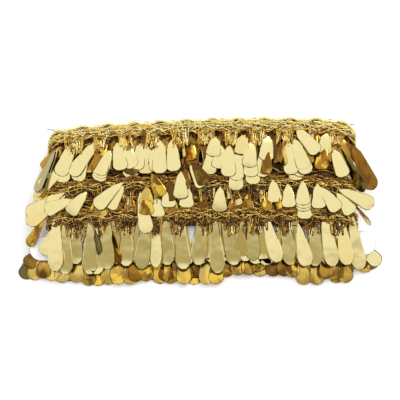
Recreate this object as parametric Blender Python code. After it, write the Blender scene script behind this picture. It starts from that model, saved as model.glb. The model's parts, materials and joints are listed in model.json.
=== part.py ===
"""Gold spangle fringe trim, wound in turns on a white card and lying flat.

The card lies in the middle of the bundle. Hidden turns of braid make a rounded core around it, three
stretches of braid show on the front and three on the back, and a row of teardrop spangles hangs from each.

X runs along the turns, Y runs from the hanging spangles up to the card's square end, and Z is the height
above the surface that the bundle lies on. The origin is the middle of the bounding box, on that surface.
Lengths are in millimetres, and solid_object turns them into metres.
"""

import math
from collections import namedtuple

import bmesh
import bpy
from mathutils import Vector

MM = 0.001
GAP = 0.3

# The card
CARD_THICKNESS = 1.5
CARD_TOP = 49.0
CARD_TOP_HALF_WIDTH = 93.0
CARD_TOP_DEPTH = 5.0
CARD_WAIST_HALF_WIDTH = 83.5
CARD_EAR_HALF_WIDTH = 103.2
CARD_EAR_TOP = -21.5
CARD_BOTTOM = -36.0
CARD_CORNER_RADIUS = 2.5
CARD_TILT_DEGREES = 1.0
ARC_STEPS = 5

# The winding, as distances from the card's middle plane outwards
TURN_HALF_LENGTH = 84.7
SLOT_RADIUS = CARD_THICKNESS / 2 + GAP
CORE_RADIUS = 5.6
CORE_LAYERS = 3
CORE_LAYER_STEP = 1.0
CORE_BELOW_TOP_EDGE = 1.2
CORE_BELOW_ROW_3 = 8.0
BRAID_INNER = 7.0
BRAID_OUTER = 8.3
SEAM_ANGLE = (GAP / 2) / BRAID_INNER
STRAIGHT_STEP = 12.0
WRAP_STEPS = 6

# The braid
BAND_WIDTH = 7.0
TOOTH_DEPTH = 7.0
TOOTH_PITCH = 15.6
TOOTH_STEPS = 6
ARCH_PLACE = -21.4
TOOTH_FADE_START = 86.0
TOOTH_FADE_LENGTH = 7.0
SCALLOP_HEIGHT = 0.9
SCALLOP_LEAD = 3.6
CORD_RELIEF = 0.4
UPPER_CORD = 1.6
LOWER_GROOVE = 5.0

# The spangles and their root strips
SPANGLE_THICKNESS = 0.4
STRIP_WIDTH = 1.5
STRIP_THICKNESS = 0.6
STRIP_STEP = 9.0

Edge = namedtuple("Edge", "along height")
Width = namedtuple("Width", "share width")
Row = namedtuple("Row", "name side edge strip_drop strip_left strip_right per_tooth layers reach")
Hang = namedtuple("Hang", "root_level bend tip_level layer_step lean_left lean_right fan gap_at")

SPANGLE_OUTLINE = (
    Width(share=0.0, width=3.0),
    Width(share=0.28, width=4.6),
    Width(share=0.62, width=7.2),
    Width(share=0.87, width=9.0),
    Width(share=1.0, width=5.0),
)

# Upper edge of each stretch of braid, from its left seam to its right seam
EDGE_FRONT_1 = (
    Edge(along=-97, height=33.0),
    Edge(along=-86, height=39.8),
    Edge(along=-62, height=43.4),
    Edge(along=-25, height=45.8),
    Edge(along=12, height=47.4),
    Edge(along=62, height=47.4),
    Edge(along=84, height=45.4),
    Edge(along=97, height=38.0),
)
EDGE_FRONT_2 = (
    Edge(along=-97, height=4.5),
    Edge(along=-80, height=9.0),
    Edge(along=-55, height=11.2),
    Edge(along=0, height=12.2),
    Edge(along=60, height=12.6),
    Edge(along=97, height=9.5),
)
EDGE_FRONT_3 = (
    Edge(along=-97, height=-12.0),
    Edge(along=-80, height=-9.0),
    Edge(along=-40, height=-7.2),
    Edge(along=50, height=-7.0),
    Edge(along=80, height=-8.0),
    Edge(along=97, height=-10.5),
)
EDGE_BACK_1 = (
    Edge(along=-97, height=33.0),
    Edge(along=-80, height=42.5),
    Edge(along=0, height=46.5),
    Edge(along=80, height=44.5),
    Edge(along=97, height=38.0),
)
EDGE_BACK_2 = (
    Edge(along=-97, height=4.5),
    Edge(along=-75, height=14.5),
    Edge(along=0, height=16.5),
    Edge(along=75, height=15.5),
    Edge(along=97, height=9.5),
)
EDGE_BACK_3 = (
    Edge(along=-97, height=-12.0),
    Edge(along=-70, height=-14.2),
    Edge(along=4, height=-14.2),
    Edge(along=20, height=-9.8),
    Edge(along=54, height=-9.6),
    Edge(along=68, height=-13.4),
    Edge(along=97, height=-10.5),
)

# Each stretch of the trim, and how its spangles hang. Levels are distances from the card's middle plane
FRONT_DROP = 8.0
BACK_DROP = BAND_WIDTH + TOOTH_DEPTH
FRONT_LEVEL = BRAID_OUTER + GAP + STRIP_THICKNESS / 2
BACK_LEVEL = BRAID_INNER - GAP - STRIP_THICKNESS / 2
ROWS = (
    (
        Row("front_1", 1, EDGE_FRONT_1, FRONT_DROP, -86, 88, 3, 2, 27),
        Hang(FRONT_LEVEL, 0.0, FRONT_LEVEL, 1.6, 32, 36, 25, None),
    ),
    (
        Row("front_2", 1, EDGE_FRONT_2, FRONT_DROP, -89, 86, 2, 2, 19),
        Hang(FRONT_LEVEL, 0.0, 9.8, 0.8, 65, 45, 25, None),
    ),
    (
        Row("front_3", 1, EDGE_FRONT_3, FRONT_DROP, -85, 85, 3, 2, 26),
        Hang(FRONT_LEVEL, 0.28, 2.4, 1.6, 38, 8, 9, None),
    ),
    (
        Row("back_1", -1, EDGE_BACK_1, BACK_DROP, -80, 80, 1.5, 1, 21),
        Hang(BACK_LEVEL, 0.0, 6.3, 0.0, 3, 3, 25, None),
    ),
    (
        Row("back_2", -1, EDGE_BACK_2, BACK_DROP, -80, 80, 1.5, 1, 21),
        Hang(BACK_LEVEL, 0.0, 6.3, 0.0, 3, 3, 25, None),
    ),
    (
        Row("back_3", -1, EDGE_BACK_3, BACK_DROP, -96, 92, 3, 2, 21),
        Hang(BACK_LEVEL, 0.0, 5.8, 1.6, 50, 50, 18, 17.0),
    ),
)


def clear_scene():
    for old in list(bpy.data.objects):
        bpy.data.objects.remove(old, do_unlink=True)


def collection(name):
    made = bpy.data.collections.new(name)
    bpy.context.scene.collection.children.link(made)
    return made


def material(name, color, metallic, roughness):
    made = bpy.data.materials.new(name)
    made.use_nodes = True
    made.diffuse_color = color
    shader = made.node_tree.nodes["Principled BSDF"]
    shader.inputs["Base Color"].default_value = color
    shader.inputs["Metallic"].default_value = metallic
    shader.inputs["Roughness"].default_value = roughness
    return made


def smooth_step(value):
    held = min(1.0, max(0.0, value))
    return held * held * (3 - 2 * held)


def edge_height(edge, along):
    """Height of a smooth curve through the edge's points."""
    last = len(edge) - 1
    here = next((i for i in range(last) if along <= edge[i + 1].along), last - 1)
    start, end = edge[here], edge[here + 1]
    span = end.along - start.along

    def slope(i):
        before, after = edge[max(0, i - 1)], edge[min(last, i + 1)]
        return (after.height - before.height) / (after.along - before.along)

    t = (along - start.along) / span
    return (
        start.height * (1 + 2 * t) * (1 - t) ** 2
        + slope(here) * span * t * (1 - t) ** 2
        + end.height * t * t * (3 - 2 * t)
        + slope(here + 1) * span * t * t * (t - 1)
    )


def on_turn(place, angle, radius, height):
    """Point at a distance from the turn's middle line, where angle 0 faces out at the right end."""
    return Vector((place + radius * math.cos(angle), height, radius * math.sin(angle)))


def loft(rings, closed):
    """Closed surface through the rings, with a face over each end unless the last ring joins the first."""
    mesh = bmesh.new()
    loops = [[mesh.verts.new(point) for point in ring] for ring in rings]
    count = len(loops[0])
    pairs = list(zip(loops, loops[1:]))
    if closed:
        pairs.append((loops[-1], loops[0]))
    for first, second in pairs:
        for i in range(count):
            j = (i + 1) % count
            mesh.faces.new((first[i], first[j], second[j], second[i]))
    if not closed:
        mesh.faces.new(list(reversed(loops[0])))
        mesh.faces.new(loops[-1])
    return mesh


def solid_object(name, mesh, finish, home):
    """Object made of a bmesh in millimetres, with its faces pointing out."""
    bmesh.ops.recalc_face_normals(mesh, faces=mesh.faces)
    bmesh.ops.scale(mesh, vec=(MM, MM, MM), verts=mesh.verts)
    data = bpy.data.meshes.new(name)
    mesh.to_mesh(data)
    mesh.free()
    made = bpy.data.objects.new(name, data)
    data.materials.append(finish)
    home.objects.link(made)
    return made


def arc(center, radius, start_degrees, end_degrees):
    steps = [start_degrees + (end_degrees - start_degrees) * i / ARC_STEPS for i in range(ARC_STEPS + 1)]
    return [
        (center[0] + radius * math.cos(math.radians(a)), center[1] + radius * math.sin(math.radians(a)))
        for a in steps
    ]


def card_outline():
    """Right half of the card's outline, from the top middle down to the bottom middle."""
    ear_radius = (CARD_EAR_TOP - CARD_BOTTOM) / 2
    ear_middle = (CARD_EAR_TOP + CARD_BOTTOM) / 2
    corner = (CARD_TOP_HALF_WIDTH - CARD_CORNER_RADIUS, CARD_TOP - CARD_CORNER_RADIUS)
    half = arc(corner, CARD_CORNER_RADIUS, 90, 0)
    half += [
        (CARD_TOP_HALF_WIDTH, CARD_TOP - CARD_TOP_DEPTH),
        (CARD_WAIST_HALF_WIDTH, CARD_TOP - CARD_TOP_DEPTH - 1),
        (CARD_WAIST_HALF_WIDTH, CARD_EAR_TOP),
    ]
    half += arc((CARD_EAR_HALF_WIDTH - ear_radius, ear_middle), ear_radius, 90, -90)
    return half + [(-x, y) for x, y in reversed(half)]


def winding_card(finish, home):
    curve = bpy.data.curves.new("winding_card", "CURVE")
    curve.dimensions = "2D"
    curve.fill_mode = "BOTH"
    curve.extrude = CARD_THICKNESS / 2 * MM
    outline = card_outline()
    spline = curve.splines.new("POLY")
    spline.points.add(len(outline) - 1)
    for point, (x, y) in zip(spline.points, outline):
        point.co = (x * MM, y * MM, 0, 1)
    spline.use_cyclic_u = True
    curve.materials.append(finish)
    made = bpy.data.objects.new("winding_card", curve)
    made.rotation_euler.z = math.radians(CARD_TILT_DEGREES)
    home.objects.link(made)
    return made


def core_ring(place, angle):
    """Section through the hidden turns, stepped at both edges like the layers of a winding."""
    layer = (CORE_RADIUS - SLOT_RADIUS) / CORE_LAYERS
    top = edge_height(EDGE_FRONT_1, place) - CORE_BELOW_TOP_EDGE
    bottom = edge_height(EDGE_FRONT_3, place) - CORE_BELOW_ROW_3
    lower, upper = [], []
    for i in range(CORE_LAYERS):
        for radius in (SLOT_RADIUS + i * layer, SLOT_RADIUS + (i + 1) * layer):
            lower.append(on_turn(place, angle, radius, bottom + i * CORE_LAYER_STEP))
            upper.append(on_turn(place, angle, radius, top - i * CORE_LAYER_STEP))
    return lower + upper[::-1]


def wound_core(finish, home):
    count = round(2 * TURN_HALF_LENGTH / STRAIGHT_STEP)
    places = [TURN_HALF_LENGTH * (1 - 2 * i / count) for i in range(count + 1)]
    bends = [math.pi / 2 + math.pi * i / WRAP_STEPS for i in range(1, WRAP_STEPS)]
    rings = [core_ring(place, math.pi / 2) for place in places]
    rings += [core_ring(-TURN_HALF_LENGTH, angle) for angle in bends]
    rings += [core_ring(place, -math.pi / 2) for place in reversed(places)]
    rings += [core_ring(TURN_HALF_LENGTH, angle + math.pi) for angle in bends]
    return solid_object("wound_core", loft(rings, closed=True), finish, home)


def tooth(along):
    """Share of a tooth's full depth: 0 at the top of an arch, and 1 at a tooth's tip."""
    turn = math.pi * (along - ARCH_PLACE) / TOOTH_PITCH
    fade = 1 - smooth_step((abs(along) - TOOTH_FADE_START) / TOOTH_FADE_LENGTH)
    return fade * (1 - abs(math.cos(turn)) ** 0.9)


def scallop(along):
    """Share of a scallop's height above the braid's upper edge."""
    return max(0.0, math.cos(2 * math.pi * (along - ARCH_PLACE + SCALLOP_LEAD) / TOOTH_PITCH))


def braid_ring(row, place, angle, along):
    """Section through the braid: a flat inside, and on the front two raised cords outside."""
    top = edge_height(row.edge, along) + SCALLOP_HEIGHT * scallop(along)
    bottom = edge_height(row.edge, along) - BAND_WIDTH - TOOTH_DEPTH * tooth(along)
    outline = [(BRAID_INNER, bottom), (BRAID_INNER, top)]
    if row.side > 0:
        relief = BRAID_OUTER - CORD_RELIEF
        outline += [
            (relief, top),
            (BRAID_OUTER, top - UPPER_CORD),
            (relief, top - LOWER_GROOVE),
            (BRAID_OUTER, bottom),
        ]
    else:
        outline += [(BRAID_OUTER, top), (BRAID_OUTER, bottom)]
    return [on_turn(place, angle * row.side, radius, height) for radius, height in outline]


def braid(row, finish, home):
    """One stretch of braid, round the right end, along the stretch and round the left end."""
    rings = []
    bends = [SEAM_ANGLE + (math.pi / 2 - SEAM_ANGLE) * i / WRAP_STEPS for i in range(WRAP_STEPS)]
    for angle in bends:
        along = TURN_HALF_LENGTH + BRAID_INNER * (math.pi / 2 - angle)
        rings.append(braid_ring(row, TURN_HALF_LENGTH, angle, along))
    count = round(2 * TURN_HALF_LENGTH * TOOTH_STEPS / TOOTH_PITCH)
    for i in range(count + 1):
        place = TURN_HALF_LENGTH * (1 - 2 * i / count)
        rings.append(braid_ring(row, place, math.pi / 2, place))
    for angle in reversed(bends):
        along = -TURN_HALF_LENGTH - BRAID_INNER * (math.pi / 2 - angle)
        rings.append(braid_ring(row, -TURN_HALF_LENGTH, math.pi - angle, along))
    return solid_object("braid_" + row.name, loft(rings, closed=False), finish, home)


def root_strip(row, hang):
    """Narrow strip that carries the row's spangles."""
    count = round((row.strip_right - row.strip_left) / STRIP_STEP)
    rings = []
    for i in range(count + 1):
        along = row.strip_left + (row.strip_right - row.strip_left) * i / count
        middle = edge_height(row.edge, along) - row.strip_drop
        rings.append(
            [
                Vector((along, middle + y * STRIP_WIDTH / 2, row.side * (hang.root_level + z)))
                for y, z in (
                    (-1, -STRIP_THICKNESS / 2),
                    (1, -STRIP_THICKNESS / 2),
                    (1, STRIP_THICKNESS / 2),
                    (-1, STRIP_THICKNESS / 2),
                )
            ]
        )
    return loft(rings, closed=False)


def lean_of(row, hang, along):
    """Angle from straight down, positive to the right. It grows over the last stretch before each end."""
    if along < 0:
        return -math.radians(hang.lean_left) * smooth_step((hang.fan - along + row.strip_left) / hang.fan)
    return math.radians(hang.lean_right) * smooth_step((hang.fan + along - row.strip_right) / hang.fan)


def spangle(row, hang, along, layer):
    """One four-sided teardrop from its root on the strip to its round end."""
    lean = lean_of(row, hang, along)
    down = Vector((math.sin(lean), -math.cos(lean), 0))
    across = Vector((math.cos(lean), math.sin(lean), 0))
    root = Vector((along, edge_height(row.edge, along) - row.strip_drop, 0))
    tip_level = hang.tip_level + layer * hang.layer_step
    rings = []
    for station in SPANGLE_OUTLINE:
        fall = max(0.0, station.share - hang.bend) / (1 - hang.bend)
        level = hang.root_level + (tip_level - hang.root_level) * fall
        middle = root + down * row.reach * station.share
        rings.append(
            [
                middle + across * side * station.width / 2 + Vector((0, 0, row.side * (level + depth)))
                for side, depth in (
                    (-1, -SPANGLE_THICKNESS / 2),
                    (1, -SPANGLE_THICKNESS / 2),
                    (1, SPANGLE_THICKNESS / 2),
                    (-1, SPANGLE_THICKNESS / 2),
                )
            ]
        )
    return loft(rings, closed=False)


def spangle_row(row, hang, finish, home, cutters):
    """The stretch's spangles, joined to their root strip."""
    made = solid_object("spangles_" + row.name, root_strip(row, hang), finish, home)
    spacing = TOOTH_PITCH / row.per_tooth
    width = SPANGLE_OUTLINE[0].width
    count = int((row.strip_right - row.strip_left - width) / spacing)
    first = (row.strip_right + row.strip_left - count * spacing) / 2
    hanging = bmesh.new()
    for i in range(count + 1):
        along = first + i * spacing
        if hang.gap_at is not None and abs(along - hang.gap_at) < spacing / 2:
            continue
        one = spangle(row, hang, along, i % row.layers)
        bmesh.ops.recalc_face_normals(one, faces=one.faces)
        part = bpy.data.meshes.new("one_spangle")
        one.to_mesh(part)
        one.free()
        hanging.from_mesh(part)
        bpy.data.meshes.remove(part)
    added = solid_object("hanging_" + row.name, hanging, finish, cutters)
    added.hide_render = True
    added.display_type = "WIRE"
    join = made.modifiers.new("roots", "BOOLEAN")
    join.operation = "UNION"
    join.solver = "EXACT"
    join.object = added
    return made


def stand_on_origin(parts, cutters):
    """Moves everything so that the bounding box stands on the origin, with its middle over it."""
    bpy.context.view_layer.update()
    graph = bpy.context.evaluated_depsgraph_get()
    corners = []
    for part in parts:
        evaluated = part.evaluated_get(graph)
        corners += [evaluated.matrix_world @ vertex.co for vertex in evaluated.to_mesh().vertices]
        evaluated.to_mesh_clear()
    low = [min(corner[axis] for corner in corners) for axis in range(3)]
    high = [max(corner[axis] for corner in corners) for axis in range(3)]
    shift = Vector((-(low[0] + high[0]) / 2, -(low[1] + high[1]) / 2, -low[2]))
    for part in parts + list(cutters.objects):
        part.location += shift


def main():
    clear_scene()
    home = collection("spangle_trim_on_card")
    cutters = collection("cutters")
    card = material("card_white", (0.86, 0.87, 0.92, 1), 0.0, 0.45)
    thread = material("thread_gold", (0.62, 0.43, 0.15, 1), 0.7, 0.45)
    hidden = material("thread_gold_shaded", (0.38, 0.24, 0.09, 1), 0.6, 0.5)
    film = material("film_gold", (0.92, 0.78, 0.36, 1), 1.0, 0.15)
    parts = [winding_card(card, home), wound_core(hidden, home)]
    for row, hang in ROWS:
        parts.append(braid(row, thread, home))
        parts.append(spangle_row(row, hang, film, home, cutters))
    stand_on_origin(parts, cutters)


main()
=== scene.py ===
"""Looks of a gold spangle fringe trim that is wound in turns on a white card and lies flat.

The braid is a thin shell with scallops above and pointed teeth below, and its twisted cords and loops of
thread lie on it. Teardrop spangles of gold film hang from every stretch in overlapping layers. Places are
first worked out in millimetres around the card's middle, X along the turns, Y up the card and Z out of its
front. shape_to_frame and add_cords then put them where the CAD solids are, in metres.
"""

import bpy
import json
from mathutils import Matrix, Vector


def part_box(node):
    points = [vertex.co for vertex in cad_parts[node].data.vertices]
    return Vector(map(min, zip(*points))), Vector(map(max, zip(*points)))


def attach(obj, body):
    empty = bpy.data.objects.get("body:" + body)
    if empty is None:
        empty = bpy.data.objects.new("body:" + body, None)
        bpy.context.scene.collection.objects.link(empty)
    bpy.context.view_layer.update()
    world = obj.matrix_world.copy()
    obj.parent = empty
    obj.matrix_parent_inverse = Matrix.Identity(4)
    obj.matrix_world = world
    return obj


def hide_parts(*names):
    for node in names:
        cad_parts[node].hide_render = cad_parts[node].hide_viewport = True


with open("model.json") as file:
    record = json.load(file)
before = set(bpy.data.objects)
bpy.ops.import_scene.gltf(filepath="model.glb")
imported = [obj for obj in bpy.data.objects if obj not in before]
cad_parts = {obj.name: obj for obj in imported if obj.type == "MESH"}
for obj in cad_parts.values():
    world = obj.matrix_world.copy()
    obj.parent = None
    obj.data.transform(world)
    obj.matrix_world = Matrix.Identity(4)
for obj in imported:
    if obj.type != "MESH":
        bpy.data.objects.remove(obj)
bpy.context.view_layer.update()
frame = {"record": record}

import json
import math
import random
from collections import namedtuple
from functools import partial

import bmesh
import bpy
from bpy.props import FloatProperty, FloatVectorProperty, IntProperty, PointerProperty
from mathutils import Matrix, Vector

bl_info = {
    "name": "Spangle Trim on a Card",
    "version": (1, 0, 0),
    "blender": (4, 5, 0),
    "location": "3D View > Sidebar > Spangle Trim",
    "description": "Dresses the solids of a wound spangle fringe with braid, cords and film spangles",
    "category": "Object",
}

MM = 0.001
BODY = "root"
SLOT_COLORS = {entry["slot"]: entry["base_color"] for entry in frame["record"]["materials"]}

# Sides of the bundle, as the sign of Z
FRONT, BACK = 1, -1

# The winding, as distances in millimetres from the card's middle
TURN_HALF_LENGTH = 84.7
STRAIGHT_PLACES = range(-84, 85)
BRAID_INNER = 7.0
SHELL_LEVEL = 6.9
CORD_LEVELS = {FRONT: 7.75, BACK: 7.15}
CORD_LIMITS = {FRONT: 10.6, BACK: 7.85}
SEAM_ANGLE = 0.0214
BRAID_HALF_LENGTH = TURN_HALF_LENGTH + BRAID_INNER * (math.pi / 2 - SEAM_ANGLE)
CORE_BELOW_TOP_EDGE = 1.2

# The braid
BAND_WIDTH = 7.0
TOOTH_DEPTH = 7.0
TOOTH_PITCH = 15.6
TOOTH_ROUNDNESS = 1.6
ARCH_PLACE = -21.4
TOOTH_FADE_START = 86.0
TOOTH_FADE_LENGTH = 7.0
SCALLOP_HEIGHT = 1.3
SCALLOP_LEAD = 3.6
SCALLOP_ROUNDNESS = 0.7
SHELL_COLUMNS = 190
SHELL_ROWS = 5
SHELL_THICKNESS = 0.3
AREA_STEPS = 400

# Places of the cords: below the braid's upper edge, or as shares of its depth
TOP_CORD_DROP = 0.9
SECOND_CORD_DROP = 2.5
ARCH_DEPTH = 0.95
INNER_ARCH_DEPTH = 0.78

# Steps and random ranges of the loops of thread that fill the braid
LOOP_STEPS = 8
LOOP_ADVANCE = (0.55, 1.5)
LOOP_TOP = (-0.08, 0.08)
LOOP_BOTTOM = (-0.1, 0.04)
LOOP_SWAY = (0.5, 1.5)
LOOP_RISE = (-0.15, 0.3)

# Long threads along the braid. RUN_WAVE holds the random ranges of a wave's size, length and start
RUN_STEP = 1.1
RUN_LIFT = 0.45
UNDER_RUN_LIFT = 0.3
RUN_SHALLOWEST = 1.2
RUN_BELOW_BAND = 0.5
RUN_WAVES = 3
RUN_WAVE = ((0.2, 0.75), (7, 26), (0, 6.3))
RUN_RISE = 0.25
RUN_RISE_RATE = 0.7

# Steps, spreads and random ranges of the loops that hang from a tooth
HANGING_STEPS = 8
HANGING_SPREAD = 2.1
HANGING_START = (1.0, 3.5)
HANGING_REACH = (-1.0, 3.6)
HANGING_HALF_WIDTH = (0.3, 0.9)
HANGING_SLANT = 0.8
HANGING_LIFT = (-0.2, 0.5)
HANGING_THICKNESS = 0.9

# The hidden turns
HIDDEN_WIDTH = 13.0
HIDDEN_COLUMNS = 150
HIDDEN_ROWS = 10
HIDDEN_THICKNESS = 1.1
HIDDEN_RIB = 0.35
HIDDEN_RIB_HALVES = 3.5
HIDDEN_RIPPLE = 0.16
HIDDEN_RIPPLE_RATE = 2.9
HIDDEN_RIPPLE_SLANT = 9

# The card. Where a face's normal has less than the slope along Z, the grey board of the cut edge shows,
# darker than the board as a painted shadow along the card's outline
CARD_THICKNESS = 1.5
CARD_TILT_DEGREES = 1.0
EAR_RADIUS = 7.2
CORNER_RADIUS = 2.5
CORNER_SEGMENTS = 8
CARD_EDGE_BEVEL = 0.3
CARD_EDGE_ANGLE = 1.2
CARD_FACE_SLOPE = 0.95
CARD_WARMTH = (0.97, 0.965, 0.94)
CUT_EDGE_BOARD_AND_SHADE = (0.26, 0.26, 0.28)

# The spangles, with shares of their length and half width, and angles in degrees
ROUND_END_SHARE = 0.82
TOP_END_SHARE = 0.06
TOP_END_WIDTH = 0.35
LEAST_WIDTH = 0.1
SPANGLE_COLUMNS = 6
SPANGLE_ROWS = 9
RIM_SHARE = 0.99
BY_RIM_COLUMN = 0.8
BY_RIM_ROW = 0.97
LEAST_BY_RIM = 0.3
RIM_WIDTH = 0.45
RIM_CURL = 0.3
# Share of the length over which the painted shadow line on the rim fades in
RIM_SHADOW_FADE = 0.25
ROOT_SHARE = 0.3
TURN_SPREAD = 2.2
BOW = 0.4
LOWEST_LEVELS = {FRONT: 1.1, BACK: -7.8}

# Spreads of the covered spangles, and the length over which they lean out at both ends of a row
FILLER_SHIFT = 1.2
FILLER_LEAN_SPREAD = 7
FILLER_TURN_SPREAD = 9
FILLER_REACH = (0.9, 1.06)
LEAN_LENGTH = 28

# Colours of the film that aren't settings. Warm film is a real tint of the film; olive film is painted
# shade, yellow and brown film are painted reflections, shaded film is painted shade, lit film is a painted
# glint and rim film is a painted shadow line
WARM_FILM = (0.93, 0.82, 0.40, 1)
OLIVE_SHADE_FILM = (0.16, 0.14, 0.05, 1)
YELLOW_REFLECTION_FILM = (0.88, 0.60, 0.13, 1)
BROWN_REFLECTION_FILM = (0.10, 0.05, 0.015, 1)
SHADED_FILM = (0.16, 0.075, 0.015, 1)
LIT_FILM = (1.0, 0.66, 0.09, 1)
RIM_SHADOW_FILM = (0.09, 0.07, 0.02, 1)

# A painted glint on the thread is the thread's colour times the lit share, with a share of pale glint colour
# added
PALE_GLINT = (1.0, 0.68, 0.28)
PALE_SHARE = 0.16
LIT_SHARE = 1.2

# Floor, sky and camera
FLOOR_HALF = 1.5
FLOOR_COLORS = ((0.94, 0.945, 0.96, 1), (0.95, 0.955, 0.97, 1))
SKY_RANGE = (-0.26, -0.02)
SKY_COLORS = ((0.47, 0.43, 0.30, 1), (0.95, 0.95, 0.96, 1))
CAMERA_TARGET = (0.8, -1.2, 8.3)
CAMERA_LENS = 100
CAMERA_SENSOR = 36

# Finishes of the thread, from the lightest. Bright is a lit copy and amber and shaded are shaded copies of
# the middle gold thread: painted light and painted shade
BRIGHT_LIT, MIDDLE, AMBER_SHADE, SHADED = range(4)

Edge = namedtuple("Edge", "along height")
Stretch = namedtuple("Stretch", "name side edge finishes teeth")
Under = namedtuple("Under", "name edge shift level deepest")
Corner = namedtuple("Corner", "x y radius")
Turn = namedtuple("Turn", "radius upper_edge shift")
Hanging = namedtuple("Hanging", "root_x root_y tip_x tip_y lift turn tone rise", defaults=(0, 0, 0))
Light = namedtuple("Light", "name direction share spread mirrored")
Fall = namedtuple("Fall", "root_level level step rise slope waver rim_start bulge top")
Teeth = namedtuple("Teeth", "lift counts")
Filler = namedtuple("Filler", "start end step drop reach lean_left lean_right lifts tones")
Finish = namedtuple("Finish", "name setting shade metallic")
Wave = namedtuple("Wave", "size rate start")
Cord = namedtuple("Cord", "lift turn_radius pitch strands step thickness")
Loops = namedtuple("Loops", "start end pitch lead lift thickness")


def hangings(*rows):
    return tuple(Hanging(*row) for row in rows)


def edge_of(*rows):
    return tuple(Edge(*row) for row in rows)


# Upper edge of each stretch of braid, from its left seam to its right seam, as places along it and heights
EDGE_FRONT_1 = edge_of(
    (-97, 33.0), (-86, 39.8), (-62, 43.4), (-25, 45.8), (12, 47.4), (62, 47.4), (84, 45.4), (97, 38.0),
)
EDGE_FRONT_2 = edge_of(
    (-97, 4.5), (-80, 9.0), (-55, 11.2), (0, 12.2), (60, 12.6), (97, 9.5),
)
EDGE_FRONT_3 = edge_of(
    (-97, -12.0), (-80, -9.0), (-40, -7.2), (50, -7.0), (80, -8.0), (97, -10.5),
)
EDGE_BACK_1 = edge_of(
    (-97, 33.0), (-80, 42.5), (0, 46.5), (80, 44.5), (97, 38.0),
)
EDGE_BACK_2 = edge_of(
    (-97, 4.5), (-75, 14.5), (0, 16.5), (75, 15.5), (97, 9.5),
)
EDGE_BACK_3 = edge_of(
    (-97, -12.0), (-70, -14.2), (4, -14.2), (20, -9.8), (54, -9.6), (68, -13.4), (97, -10.5),
)

FINISHES = (
    Finish("bright_gold_thread", "bright", 0.78, 0.55),
    Finish("gold_thread", "middle", 0.42, 0.65),
    Finish("amber_thread", "deep", 0.25, 0.85),
    Finish("shaded_thread", "dark_shade", 0.25, 0.75),
)

# Twisted cords of the braid. Thickness is a share of the top cord's
TOP_CORD = Cord(0.1, 0.55, 4.4, 3, 0.55, 1.0)
SECOND_CORD = Cord(0.0, 0.42, 3.6, 2, 0.5, 0.75)
ARCH_CORD = Cord(0.1, 0.45, 3.2, 2, 0.5, 0.6)
INNER_ARCH_CORD = Cord(-0.1, 0.35, 3.0, 2, 0.5, 0.6)
UNDER_CORD = Cord(0.0, 0.35, 3.2, 2, 0.6, 0.7)
ARCH_WAVES = (Wave(0.5, 1.7, 0), Wave(0.4, 0.93, 1))

# Loops of thread between two shares of the braid's depth. Lift is above the cords
BRAID_LOOPS = (
    Loops(0.3, 0.66, 3.2, 1.8, 0.0, 1.0),
    Loops(0.45, 1.05, 2.8, 1.4, -0.05, 1.0),
    Loops(0.35, 1.0, 4.0, 1.6, -0.35, 1.0),
    Loops(0.1, 0.7, 4.2, 2.6, 0.25, 0.8),
)
UNDER_LOOPS = (Loops(0.1, 0.9, 2.6, 1.8, 0.0, 1.2), Loops(0.1, 1.1, 3.2, 3.0, 0.3, 1.0))

# Loops of thread that hang from each tooth of the top stretch, and of the others. The counts are of main,
# amber shaded, light and bright lit loops
TOP_TEETH = Teeth(2.6, (8, 8, 3, 1))
TEETH = Teeth(0.8, (4, 4, 2, 1))

# Finishes are of a stretch's upper cord, of most of it, and of its inner threads. The darker finishes of
# front_2 and front_3 are painted shade
STRETCHES = (
    Stretch("front_1", FRONT, EDGE_FRONT_1, (BRIGHT_LIT, MIDDLE, AMBER_SHADE), TOP_TEETH),
    Stretch("front_2", FRONT, EDGE_FRONT_2, (AMBER_SHADE, SHADED, SHADED), TEETH),
    Stretch("front_3", FRONT, EDGE_FRONT_3, (AMBER_SHADE, SHADED, SHADED), TEETH),
    Stretch("back_1", BACK, EDGE_BACK_1, (BRIGHT_LIT, MIDDLE, AMBER_SHADE), TEETH),
    Stretch("back_2", BACK, EDGE_BACK_2, (BRIGHT_LIT, MIDDLE, AMBER_SHADE), TEETH),
    Stretch("back_3", BACK, EDGE_BACK_3, (BRIGHT_LIT, MIDDLE, AMBER_SHADE), TEETH),
)

# Cords of the hidden turns that show through the arches and between the stretches of the front. Shift moves
# a turn up from its edge, and deepest is as far as its threads go below that
UNDERS = (
    Under("under_1", EDGE_FRONT_1, -4.0, 6.0, 15.5),
    Under("under_2", EDGE_FRONT_1, -17.5, 5.9, 15.5),
    Under("under_3", EDGE_FRONT_2, -4.5, 6.0, 14.0),
    Under("under_4", EDGE_FRONT_3, 0.5, 6.0, 6.0),
)

# The hidden turns of the trim: five on the card and four over them
HIDDEN_TURNS = (
    Turn(2.4, EDGE_FRONT_1, -1.2),
    Turn(2.4, EDGE_FRONT_1, -14.2),
    Turn(2.4, EDGE_FRONT_2, 6.0),
    Turn(2.4, EDGE_FRONT_2, -7.0),
    Turn(2.4, EDGE_FRONT_3, 3.6),
    Turn(4.7, EDGE_FRONT_1, -3.2),
    Turn(4.7, EDGE_FRONT_1, -17.5),
    Turn(4.7, EDGE_FRONT_2, -1.0),
    Turn(4.7, EDGE_FRONT_3, 2.6),
)

# Corners of the right half of the card, from its top down
CARD_CORNERS = (
    Corner(93.0, 49.0, CORNER_RADIUS),
    Corner(93.0, 44.0, 0.4),
    Corner(83.5, 43.0, 0.4),
    Corner(83.5, -21.5, 0.8),
    Corner(103.2, -21.5, EAR_RADIUS),
    Corner(103.2, -36.0, EAR_RADIUS),
)
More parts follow.
